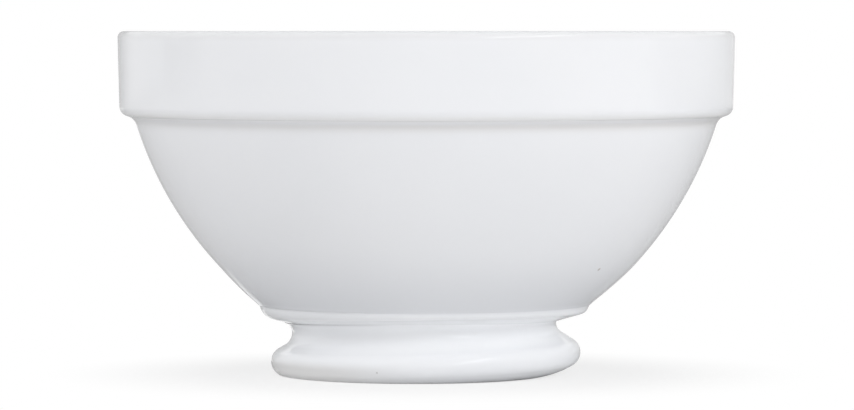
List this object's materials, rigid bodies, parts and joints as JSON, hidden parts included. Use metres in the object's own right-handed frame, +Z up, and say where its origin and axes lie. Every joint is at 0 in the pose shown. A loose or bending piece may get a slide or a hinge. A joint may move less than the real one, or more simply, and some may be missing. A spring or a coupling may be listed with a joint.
{
  "type": "latte bowl",
  "caption": "White glazed footed latte bowl with a straight banded rim, a round wall that steps in under it, and a turned foot ring; holds about half a litre.",
  "frame": {"origin": "middle of the bowl on the plane that it stands on", "axes": "+Z up out of the mouth; the picture looks along +Y with +X to the right; the foot leans about the Y axis, higher towards +X"},
  "size_m": [0.132, 0.132, 0.0735],
  "materials": {
    "white_glaze": "smooth glossy white glaze, very slightly cool",
    "foot_glaze": "glossy white glaze over turned clay, with faint turning lines; standing face wiped matt"
  },
  "bodies": {
    "root": {"rim_collar": "white_glaze", "bowl_wall": "white_glaze", "bowl_floor": "white_glaze", "base_ring": "foot_glaze", "foot_seam": "foot_glaze", "foot_ring": "foot_glaze"}
  },
  "joints": []
}
